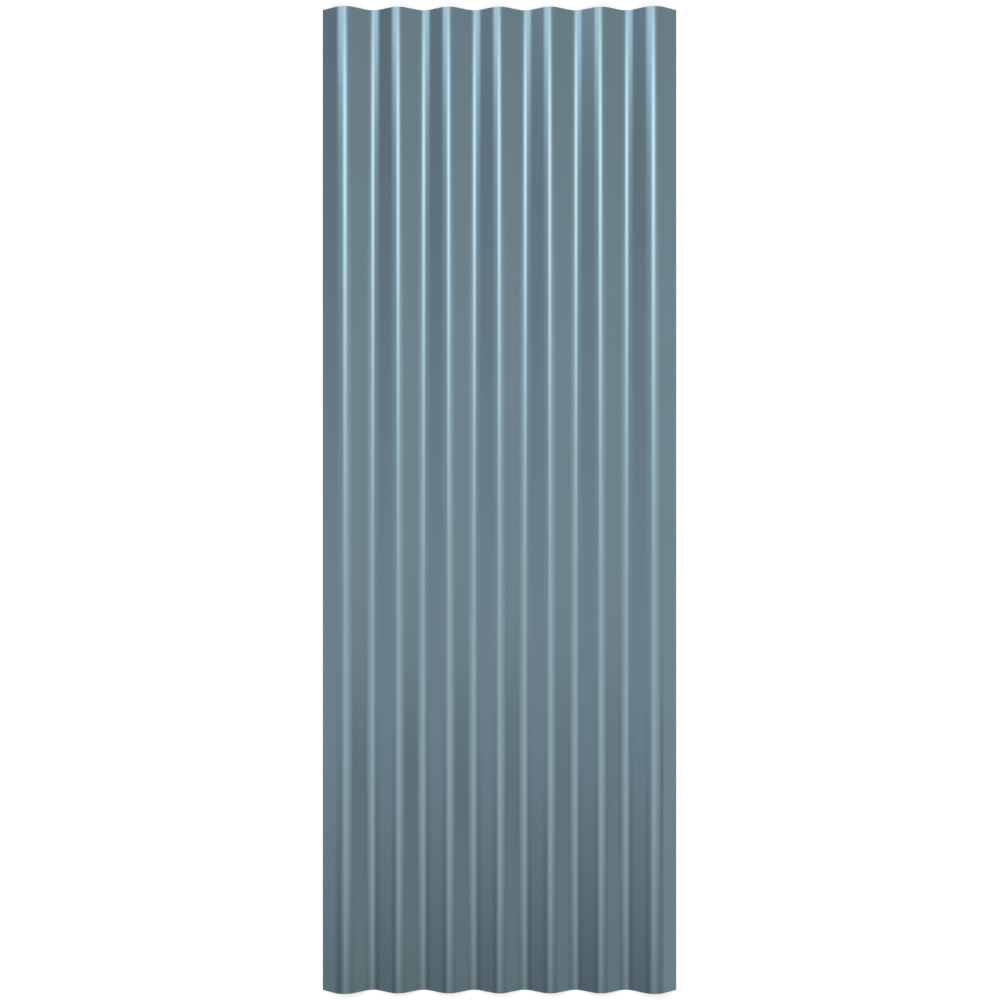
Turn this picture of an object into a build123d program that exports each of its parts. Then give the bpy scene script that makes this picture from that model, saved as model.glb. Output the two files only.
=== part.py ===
from build123d import *
from math import asin, atan2, degrees, hypot
import os

# Corrugated steel sheet, roll-formed in one piece from flat strip.
# X runs across the corrugations, Y along them and Z up. The sheet lies with its crests up,
# and the origin is below its middle, on the plane that its valleys rest on.

sheet_length = 1830.0
sheet_thickness = 0.5

# The inner corrugations, which are all alike
inner_crests = 5
corrugation_pitch = 94.3
corrugation_depth = 18.0
bend_radius = 28.5  # to the middle of the thickness, like the other radius

# The side-lap corrugation along each long edge, taller, with no valley of its own on the outside
lap_width = 94.3
lap_depth = 21.3
lap_crest_inset = 42.4
lap_bend_radius = 34.0

# A straight flank runs from bend to bend, so the radii of two neighbours add up to no more
# than this share of the sum at which they would meet
bend_room_share = 0.95


def room_for_bends(run, rise):
    # Largest sum of the radii of a valley and a crest that lie run apart across and rise apart in height
    return bend_room_share * (run**2 + rise**2) / (2 * rise)


def flank_slope(run, rise, radii_sum):
    # Slope in degrees of the straight line that touches both bends, passing between their centres
    centre_rise = rise - radii_sum
    return degrees(atan2(centre_rise, run) + asin(radii_sum / hypot(run, centre_rise)))


half_thickness = sheet_thickness / 2
half_pitch = corrugation_pitch / 2
outer_valley_x = half_pitch * inner_crests
edge_x = outer_valley_x + lap_width
lap_crest_x = edge_x - lap_crest_inset
lap_run = lap_crest_x - outer_valley_x

inner_radius = min(bend_radius, room_for_bends(half_pitch, corrugation_depth) / 2)
lap_room = min(room_for_bends(lap_run, lap_depth) - inner_radius, room_for_bends(lap_crest_inset, lap_depth))
lap_radius = min(lap_bend_radius, lap_room)

# The three kinds of flank: between inner bends, from the outer valley up to the lap crest,
# and from the lap crest down to the long edge
inner_slope = flank_slope(half_pitch, corrugation_depth, inner_radius + inner_radius)
lap_slope = flank_slope(lap_run, lap_depth, inner_radius + lap_radius)
edge_slope = flank_slope(lap_crest_inset, lap_depth, lap_radius)

# Bends from left to right as (x, height of the crest or valley, radius, is it a crest)
bends = [(-lap_crest_x, lap_depth, lap_radius, True)]
for step in range(2 * inner_crests + 1):
    is_crest = step % 2 == 1
    height = corrugation_depth if is_crest else 0
    bends.append((step * half_pitch - outer_valley_x, height, inner_radius, is_crest))
bends.append((lap_crest_x, lap_depth, lap_radius, True))

# Slope of the flank on the left of each bend, and of the last flank on the right
slopes = [edge_slope, lap_slope] + [inner_slope] * (2 * inner_crests) + [lap_slope, edge_slope]


def sheet_face(offset):
    # One face of the sheet from its left edge to its right, offset from the middle of the thickness
    middle = Vector(0, half_thickness)
    left_end = Vector(-edge_x, 0) + middle + Vector(0, offset).rotate(Axis.Z, edge_slope)
    right_end = Vector(edge_x, 0) + middle + Vector(0, offset).rotate(Axis.Z, -edge_slope)
    reached = left_end
    for (x, height, radius, is_crest), left_slope, right_slope in zip(bends, slopes, slopes[1:]):
        turn = left_slope + right_slope
        if is_crest:
            centre = Vector(x, height - radius) + middle
            bend = CenterArc(centre, radius + offset, 90 + left_slope, -turn)
        else:
            centre = Vector(x, height + radius) + middle
            bend = CenterArc(centre, radius - offset, 270 - left_slope, turn)
        Line(reached, bend @ 0)
        reached = bend @ 1
    Line(reached, right_end)
    return left_end, right_end


os.makedirs("parts", exist_ok=True)

with BuildPart() as corrugated_sheet:
    with BuildSketch(Plane.XZ):
        with BuildLine():
            top_left, top_right = sheet_face(half_thickness)
            bottom_left, bottom_right = sheet_face(-half_thickness)
            Line(top_left, bottom_left)
            Line(top_right, bottom_right)
        make_face()
    extrude(amount=sheet_length / 2, both=True)
corrugated_sheet.part.label = "corrugated_sheet"
export_step(corrugated_sheet.part, "parts/corrugated_sheet.step")
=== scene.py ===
import bpy
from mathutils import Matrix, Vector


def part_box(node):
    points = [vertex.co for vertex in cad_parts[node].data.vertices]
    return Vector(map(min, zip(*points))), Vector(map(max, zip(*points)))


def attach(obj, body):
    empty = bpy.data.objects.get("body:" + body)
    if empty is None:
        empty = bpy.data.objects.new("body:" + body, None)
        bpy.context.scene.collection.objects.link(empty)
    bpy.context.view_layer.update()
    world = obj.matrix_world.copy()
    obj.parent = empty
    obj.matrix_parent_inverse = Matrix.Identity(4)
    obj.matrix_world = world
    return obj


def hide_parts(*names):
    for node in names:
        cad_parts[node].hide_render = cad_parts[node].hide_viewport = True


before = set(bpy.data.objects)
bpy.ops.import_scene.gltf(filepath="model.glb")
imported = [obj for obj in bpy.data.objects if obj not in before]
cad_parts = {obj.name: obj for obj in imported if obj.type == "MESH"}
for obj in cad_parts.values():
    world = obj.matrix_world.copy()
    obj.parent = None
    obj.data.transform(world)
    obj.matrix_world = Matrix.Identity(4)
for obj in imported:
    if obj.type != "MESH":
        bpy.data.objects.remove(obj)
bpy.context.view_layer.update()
sheetNode = "corrugated_sheet"
lowCorner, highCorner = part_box(sheetNode)
sheetLength = highCorner.y - lowCorner.y
print(f"frame loaded: {sheetNode}, {sheetLength:.3f} m long")


class Wire:
    # A socket of a node tree. Sums and products of wires add their Math nodes to that tree.
    def __init__(self, tree, socket=None):
        self.tree = tree
        self.socket = socket

    def node(self, kind, settings=None, inputs=None, output=0):
        made = self.tree.nodes.new(kind)
        for name, value in (settings or {}).items():
            setattr(made, name, value)
        for name, value in (inputs or {}).items():
            for one in value if isinstance(value, list) else [value]:
                if isinstance(one, Wire):
                    self.tree.links.new(one.socket, made.inputs[name])
                else:
                    made.inputs[name].default_value = one
        return Wire(self.tree, made.outputs[output] if made.outputs else None)

    def other(self, output):  # another output of the node that this wire comes from
        return Wire(self.tree, self.socket.node.outputs[output])

    def maths(self, operation, *values):
        return self.node("ShaderNodeMath", {"operation": operation}, dict(enumerate(values)))

    def blend(self, low, high):  # a colour between two, by this wire
        # The sockets go by number, because a Mix node has an A, a B and a Result for each kind of value
        factor, colourA, colourB = 0, 6, 7
        colourResult = 2
        return self.node("ShaderNodeMix", {"data_type": "RGBA"},
                         {factor: self, colourA: low, colourB: high}, colourResult)

    def __add__(self, value):
        return self.maths("ADD", self, value)

    def __radd__(self, value):
        return self.maths("ADD", value, self)

    def __sub__(self, value):
        return self.maths("SUBTRACT", self, value)

    def __rsub__(self, value):
        return self.maths("SUBTRACT", value, self)

    def __mul__(self, value):
        return self.maths("MULTIPLY", self, value)

    def __rmul__(self, value):
        return self.maths("MULTIPLY", value, self)

    def __truediv__(self, value):
        return self.maths("DIVIDE", self, value)

    def __rtruediv__(self, value):
        return self.maths("DIVIDE", value, self)

    def __gt__(self, value):
        return self.maths("GREATER_THAN", self, value)


def pick(mask, without, within):
    return without + (within - without) * mask


# Finishes

satinCoating = {
    "colour": (0.172, 0.253, 0.300),
    "toneSpread": 0.05,  # share by which the tone drifts up and down
    "metallic": 0.92,
    "roughness": 0.18,
    "roughnessSpread": 0.05,
    "streakShare": 0.5,  # of the drift, which is patches for the rest
    "noiseDetail": 3,
    # Heights and sizes are in metres, and a size is given across the strip and along it
    "lineHeight": 0.000015,
    "grainHeight": 0.000012,
    "streaks": (0.004, 4),
    "patches": (0.14, 0.14),
    "coaterLines": (0.0012, 0.4),
    "grain": (0.0007, 0.0009),
}

cutSteel = {
    "colour": (0.40, 0.42, 0.43),
    "toneSpread": 0.25,
    "metallic": 1,
    "roughness": 0.42,
    "roughnessSpread": 0.2,
    "shearMark": 0.0006,
    "noiseDetail": 2,
}


def startMaterial(name):
    material = bpy.data.materials.new(name)
    material.use_nodes = True
    material.node_tree.nodes.clear()
    return material, Wire(material.node_tree)


def driftColour(noise, look):
    red, green, blue = look["colour"]
    dark, light = 1 - look["toneSpread"], 1 + look["toneSpread"]
    darkColour = (red * dark, green * dark, blue * dark, 1)
    lightColour = (red * light, green * light, blue * light, 1)
    return noise.blend(darkColour, lightColour)


def driftRoughness(noise, look):
    smoothest = look["roughness"] - look["roughnessSpread"] / 2
    return smoothest + noise * look["roughnessSpread"]


def stripNoise(strip, look, marks):
    across, along = look[marks]
    scaled = strip.node("ShaderNodeMapping", inputs={"Vector": strip, "Scale": (1 / across, 1 / along, 1)})
    noScale = 1  # the Mapping node has done it
    return strip.node("ShaderNodeTexNoise", {"noise_dimensions": "2D"},
                      {"Vector": scaled, "Scale": noScale, "Detail": look["noiseDetail"]})


def makeCoating(look):
    material, start = startMaterial("satinCoating")
    strip = start.node("ShaderNodeUVMap", {"uv_map": "strip"})  # metres on the flat strip
    patches = stripNoise(strip, look, "patches")
    streaks = stripNoise(strip, look, "streaks")
    drift = pick(look["streakShare"], patches, streaks)
    lines = stripNoise(strip, look, "coaterLines") * look["lineHeight"]
    grain = stripNoise(strip, look, "grain") * look["grainHeight"]
    wholeHeight = 1  # the Bump node takes the heights as they are
    bump = start.node("ShaderNodeBump", inputs={"Height": lines + grain, "Distance": wholeHeight})
    surface = start.node("ShaderNodeBsdfPrincipled", inputs={
        "Base Color": driftColour(drift, look), "Metallic": look["metallic"],
        "Roughness": driftRoughness(drift, look), "Normal": bump})
    start.node("ShaderNodeOutputMaterial", inputs={"Surface": surface})
    return material


def makeCutSteel(look):
    material, start = startMaterial("cutSteel")
    place = start.node("ShaderNodeTexCoord", output="Object")
    marks = start.node("ShaderNodeTexNoise", inputs={
        "Vector": place, "Scale": 1 / look["shearMark"], "Detail": look["noiseDetail"]})
    surface = start.node("ShaderNodeBsdfPrincipled", inputs={
        "Base Color": driftColour(marks, look), "Metallic": look["metallic"],
        "Roughness": driftRoughness(marks, look)})
    start.node("ShaderNodeOutputMaterial", inputs={"Surface": surface})
    return material


finishes = {"Coating": makeCoating(satinCoating), "Cut Edge": makeCutSteel(cutSteel)}
print("finishes made:", ", ".join(material.name for material in finishes.values()))

# The rolled sheet, in metres

sheetSizes = {
    "Length": sheetLength,
    "Thickness": 0.0005,
    "Inner Crests": 5,
    "Pitch": 0.0943,
    "Depth": 0.018,
    "Bend Radius": 0.0285,  # to the middle of the thickness, like the lap's
    "Lap Width": 0.0943,  # from the outer valley to the long edge
    "Lap Depth": 0.0213,
    "Lap Crest Inset": 0.0424,  # from the long edge
    "Lap Bend Radius": 0.034,
    "Bend Cuts": 32,
    "Section Step": 0.0014,  # from point to point along the section
    "Rows": 24,  # of faces along the sheet
    "Weld": 0.00002,
}


def flankSlope(run, rise, radii):  # of the line that touches a valley's bend and a crest's
    drop = rise - radii
    reach = run.maths("SQRT", run * run + drop * drop)
    return run.maths("ARCTAN2", drop, run) + run.maths("ARCSINE", radii / reach)


def sectionLine(start, size):
    innerCrests = size["Inner Crests"]
    halfPitch = size["Pitch"] / 2
    outerValley = halfPitch * innerCrests
    edge = outerValley + size["Lap Width"]
    lapCrest = edge - size["Lap Crest Inset"]
    bendRadius = size["Bend Radius"]
    lapRadius = size["Lap Bend Radius"]
    innerSlope = flankSlope(halfPitch, size["Depth"], bendRadius * 2)
    lapSlope = flankSlope(lapCrest - outerValley, size["Lap Depth"], bendRadius + lapRadius)
    edgeSlope = flankSlope(size["Lap Crest Inset"], size["Lap Depth"], lapRadius)

    # Corners are counted from the middle of the sheet outwards: the inner bends up to the outer valley,
    # then the lap crest and the long edge
    lapCount = innerCrests + 1
    edgeCount = innerCrests + 2
    fromMiddle = start.node("GeometryNodeInputIndex") - edgeCount
    side = start.maths("SIGN", fromMiddle)
    count = start.maths("ABSOLUTE", fromMiddle)
    isOuter = count > innerCrests - 1
    isLap = count > innerCrests
    isEdge = count > lapCount
    isCrest = start.maths("MODULO", count + innerCrests, 2)

    # The flanks on both sides of a bend are drawn on to the corner where they meet
    radius = pick(isLap, bendRadius, lapRadius)
    inward = pick(isLap, innerSlope, lapSlope)
    outward = pick(isLap, pick(isOuter, innerSlope, lapSlope), edgeSlope)
    lean = (outward - inward) / 2
    reach = radius / start.maths("COSINE", (outward + inward) / 2)
    upward = isCrest * 2 - 1
    bendHeight = size["Thickness"] / 2 + isCrest * pick(isLap, size["Depth"], size["Lap Depth"])
    centre = bendHeight - upward * radius
    cornerAcross = pick(isLap, count * halfPitch, lapCrest) + reach * start.maths("SINE", lean)
    cornerUp = centre + upward * reach * start.maths("COSINE", lean)
    across = side * pick(isEdge, cornerAcross, edge)
    up = pick(isEdge, cornerUp, size["Thickness"] / 2)

    corners = start.node("GeometryNodeMeshLine", inputs={"Count": edgeCount * 2 + 1})
    place = start.node("ShaderNodeCombineXYZ", inputs={"X": across, "Z": up})
    placed = start.node("GeometryNodeSetPosition", inputs={"Geometry": corners, "Position": place})
    line = start.node("GeometryNodeMeshToCurve", inputs={"Mesh": placed})
    bent = start.node("GeometryNodeFilletCurve", {"mode": "POLY"},
                      {"Curve": line, "Count": size["Bend Cuts"], "Radius": radius})
    return start.node("GeometryNodeResampleCurve", {"mode": "LENGTH"},
                      {"Curve": bent, "Length": size["Section Step"]})


def makeSheetTree(sizes, materials):
    tree = bpy.data.node_groups.new("rolledSheet", "GeometryNodeTree")
    for name, value in sizes.items():
        kind = "NodeSocketInt" if isinstance(value, int) else "NodeSocketFloat"
        tree.interface.new_socket(name, in_out="INPUT", socket_type=kind)
    for name in materials:
        tree.interface.new_socket(name, in_out="INPUT", socket_type="NodeSocketMaterial")
    tree.interface.new_socket("Sheet", in_out="OUTPUT", socket_type="NodeSocketGeometry")
    start = Wire(tree)
    given = start.node("NodeGroupInput")
    size = {name: given.other(name) for name in [*sizes, *materials]}

    # The section is swept along the sheet, at the middle of its thickness
    section = sectionLine(start, size)
    section = start.node("GeometryNodeSetCurveNormal", {"mode": "Z_UP"}, {"Curve": section})
    reached = start.node("GeometryNodeSplineParameter", output="Length")
    section = start.node("GeometryNodeStoreNamedAttribute", {"data_type": "FLOAT", "domain": "POINT"},
                         {"Geometry": section, "Name": "acrossStrip", "Value": reached})
    halfLength = size["Length"] / 2
    farEnd = start.node("ShaderNodeCombineXYZ", inputs={"X": halfLength})
    nearEnd = start.node("ShaderNodeCombineXYZ", inputs={"X": 0 - halfLength})
    along = start.node("GeometryNodeCurvePrimitiveLine", inputs={"Start": nearEnd, "End": farEnd})
    along = start.node("GeometryNodeResampleCurve", {"mode": "COUNT"},
                       {"Curve": along, "Count": size["Rows"] + 1})
    middle = start.node("GeometryNodeCurveToMesh", inputs={"Curve": section, "Profile Curve": along})

    # Both faces stand half the thickness off that middle, joined by walls along the cut edges
    normal = start.node("GeometryNodeInputNormal")
    down = start.node("ShaderNodeVectorMath", {"operation": "SCALE"},
                      {"Vector": normal, "Scale": 0 - size["Thickness"] / 2})
    oneFace = start.node("GeometryNodeSetPosition", inputs={"Geometry": middle, "Offset": down})
    raised = start.node("GeometryNodeExtrudeMesh", {"mode": "FACES"},
                        {"Mesh": oneFace, "Offset Scale": size["Thickness"], "Individual": False})
    isWall = raised.other("Side")
    otherFace = start.node("GeometryNodeFlipFaces", inputs={"Mesh": oneFace})
    shell = start.node("GeometryNodeJoinGeometry", inputs={"Geometry": [raised, otherFace]})
    shell = start.node("GeometryNodeMergeByDistance", inputs={"Geometry": shell, "Distance": size["Weld"]})
    for domain in ("FACE", "EDGE"):
        shell = start.node("GeometryNodeSetShadeSmooth", {"domain": domain},
                           {"Geometry": shell, "Selection": isWall, "Shade Smooth": False})
    place = start.node("GeometryNodeInputPosition")
    alongY = start.node("ShaderNodeSeparateXYZ", inputs={"Vector": place}, output="Y")
    acrossStrip = start.node("GeometryNodeInputNamedAttribute", {"data_type": "FLOAT"},
                             {"Name": "acrossStrip"})
    onStrip = start.node("ShaderNodeCombineXYZ", inputs={"X": acrossStrip, "Y": alongY})
    shell = start.node("GeometryNodeStoreNamedAttribute", {"data_type": "FLOAT2", "domain": "CORNER"},
                       {"Geometry": shell, "Name": "strip", "Value": onStrip})
    shell = start.node("GeometryNodeRemoveAttribute", inputs={"Geometry": shell, "Name": "acrossStrip"})
    shell = start.node("GeometryNodeRealizeInstances", inputs={"Geometry": shell})
    shell = start.node("GeometryNodeSetMaterial", inputs={"Geometry": shell, "Material": size["Coating"]})
    shell = start.node("GeometryNodeSetMaterial",
                       inputs={"Geometry": shell, "Selection": isWall, "Material": size["Cut Edge"]})
    start.node("NodeGroupOutput", inputs={"Sheet": shell})
    return tree


def makeSheet(sizes, materials):
    sheet = bpy.data.objects.new("rolledSheet", bpy.data.meshes.new("rolledSheet"))
    bpy.context.scene.collection.objects.link(sheet)
    modifier = sheet.modifiers.new("rolls", "NODES")
    modifier.node_group = makeSheetTree(sizes, materials)
    for socket in modifier.node_group.interface.items_tree:
        if socket.in_out == "INPUT":
            modifier[socket.identifier] = {**sizes, **materials}[socket.name]
    depsgraph = bpy.context.evaluated_depsgraph_get()
    mesh = bpy.data.meshes.new_from_object(
        sheet.evaluated_get(depsgraph), preserve_all_data_layers=True, depsgraph=depsgraph)
    sheet.modifiers.remove(modifier)
    mesh.materials.pop(index=0)  # the empty slot that the sweep leaves
    sheet.data = mesh
    return sheet


sheet = makeSheet(sheetSizes, finishes)
print("sheet rolled:", len(sheet.data.polygons), "faces")

# Floor, light and camera

studioFloor = {
    "size": 60,
    "colour": (0.9, 0.9, 0.9, 1),
    "topUp": 0.17,  # glow that makes it white to the camera and in reflections
}


def makeFloor(look):
    half = look["size"] / 2
    mesh = bpy.data.meshes.new("floor")
    corners = [(-half, -half, 0), (half, -half, 0), (half, half, 0), (-half, half, 0)]
    mesh.from_pydata(corners, [], [(0, 1, 2, 3)])
    floor = bpy.data.objects.new("floor", mesh)
    bpy.context.scene.collection.objects.link(floor)
    material, start = startMaterial("paleFloor")
    ray = start.node("ShaderNodeLightPath", output="Is Camera Ray")
    seen = ray + ray.other("Is Glossy Ray") + ray.other("Is Transmission Ray")
    matt = start.node("ShaderNodeBsdfDiffuse", inputs={"Color": look["colour"]})
    glow = start.node("ShaderNodeEmission", inputs={"Strength": seen * look["topUp"]})
    both = start.node("ShaderNodeAddShader", inputs={0: matt, 1: glow})
    start.node("ShaderNodeOutputMaterial", inputs={"Surface": both})
    mesh.materials.append(material)
    return floor


# A pale room with soft panels, and with dark cards, whose level is below zero. Angles are degrees from
# straight overhead, across to +X and along to +Y. Soft is how far a panel's sides, front and back fade.
studioLight = {
    "room": 0.885,
    "panels": {
        "mainStrip": {"across": (-12.5, 15.5), "along": (-20.5, 21), "soft": (10.5, 2, 2), "level": 0.64},
        "backStrip": {"across": (-11.5, 5.5), "along": (10.5, 19), "soft": (8.5, 15.5, 1.5), "level": 3.9},
        "backPanel": {"across": (-46.5, -9), "along": (18.2, 44), "soft": (19, 3, 12), "level": 2.15},
        "farPanel": {"across": (-34, 2), "along": (52, 80), "soft": (16, 8, 4), "level": 1},
        "frontPanel": {"across": (-34, 2), "along": (-80, -46), "soft": (16, 4, 8), "level": 1},
        "rightFill": {"across": (16.5, 34), "along": (-19, 11), "soft": (13, 1.5, 1.5), "level": 0.33},
        "leftBackCard": {"across": (-100, -50), "along": (1.5, 50), "soft": (20, 14, 14), "level": -0.28},
        "backCard": {"across": (-180, 180), "along": (15.5, 50), "soft": (1, 10.5, 10.5), "level": -0.17},
        "leftCard": {"across": (-53, -25), "along": (-28, -10), "soft": (6, 2, 2), "level": -0.15},
        "rightCard": {"across": (45, 63), "along": (-14, -8.6), "soft": (8, 3, 2), "level": -0.36},
        "frontCard": {"across": (-120, 65), "along": (-32, -19), "soft": (24, 5, 13), "level": -0.78},
    },
    "tints": {"leftBack": (0.97, 0.995, 1.035, 1), "rightBack": (1.0, 1.008, 0.992, 1),
              "leftFront": (1.0, 0.99, 1.01, 1), "rightFront": (1.03, 1.005, 0.963, 1)},
    "sideTurn": (-32, 2),  # the left's tints turn into the right's between these angles across
    "frontTurn": (6, -14),  # the back's tints turn into the front's between these angles along
    "horizon": (7, 14),  # the light turns to plain white between these elevations
}


def softStep(angle, low, high):
    return angle.node("ShaderNodeMapRange", {"interpolation_type": "SMOOTHSTEP"},
                      {"Value": angle, "From Min": low, "From Max": high})


def softSpan(angle, span, softLow, softHigh):
    low, high = span
    rise = softStep(angle, low - softLow, low + softLow)
    fall = softStep(angle, high - softHigh, high + softHigh)
    return rise * (1 - fall)


def makeLight(look):
    world = bpy.data.worlds.new("studio")
    bpy.context.scene.world = world
    world.use_nodes = True
    world.node_tree.nodes.clear()
    start = Wire(world.node_tree)
    direction = start.node("ShaderNodeTexCoord", output="Generated")
    toX = start.node("ShaderNodeSeparateXYZ", inputs={"Vector": direction})
    toY, toZ = toX.other("Y"), toX.other("Z")
    across = start.maths("DEGREES", start.maths("ARCTAN2", toX, toZ))
    along = start.maths("DEGREES", start.maths("ARCSINE", toY))
    elevation = start.maths("DEGREES", start.maths("ARCSINE", toZ))
    light = look["room"]
    for panel in look["panels"].values():
        softSides, softFront, softBack = panel["soft"]
        lit = softSpan(across, panel["across"], softSides, softSides)
        lit = lit * softSpan(along, panel["along"], softFront, softBack)
        light = light + lit * panel["level"]
    aboveHorizon = softStep(elevation, *look["horizon"])
    whiteLevel, whiteTint = 1, (1, 1, 1, 1)
    light = pick(aboveHorizon, whiteLevel, light)
    rightward = softStep(across, *look["sideTurn"])
    frontward = softStep(along, *look["frontTurn"])
    tints = look["tints"]
    tint = frontward.blend(rightward.blend(tints["leftBack"], tints["rightBack"]),
                           rightward.blend(tints["leftFront"], tints["rightFront"]))
    tint = aboveHorizon.blend(whiteTint, tint)
    background = start.node("ShaderNodeBackground", inputs={"Color": tint, "Strength": light})
    start.node("ShaderNodeOutputWorld", inputs={"Surface": background})


photoCamera = {
    "height": 2.4775,
    "aside": 0.0009,
    "lens": 47.74,  # millimetres, like the sensor
    "sensor": 36,
}


def makeCamera(view):
    camera = bpy.data.objects.new("camera", bpy.data.cameras.new("camera"))
    bpy.context.scene.collection.objects.link(camera)
    camera.location = (view["aside"], 0, view["height"])  # looks straight down, with +Y up in the picture
    camera.data.lens = view["lens"]
    camera.data.sensor_width = view["sensor"]
    bpy.context.scene.camera = camera


floor = makeFloor(studioFloor)
makeLight(studioLight)
makeCamera(photoCamera)
bpy.context.scene.view_settings.view_transform = "Standard"
print("studio set")

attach(sheet, "root")
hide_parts(sheetNode)
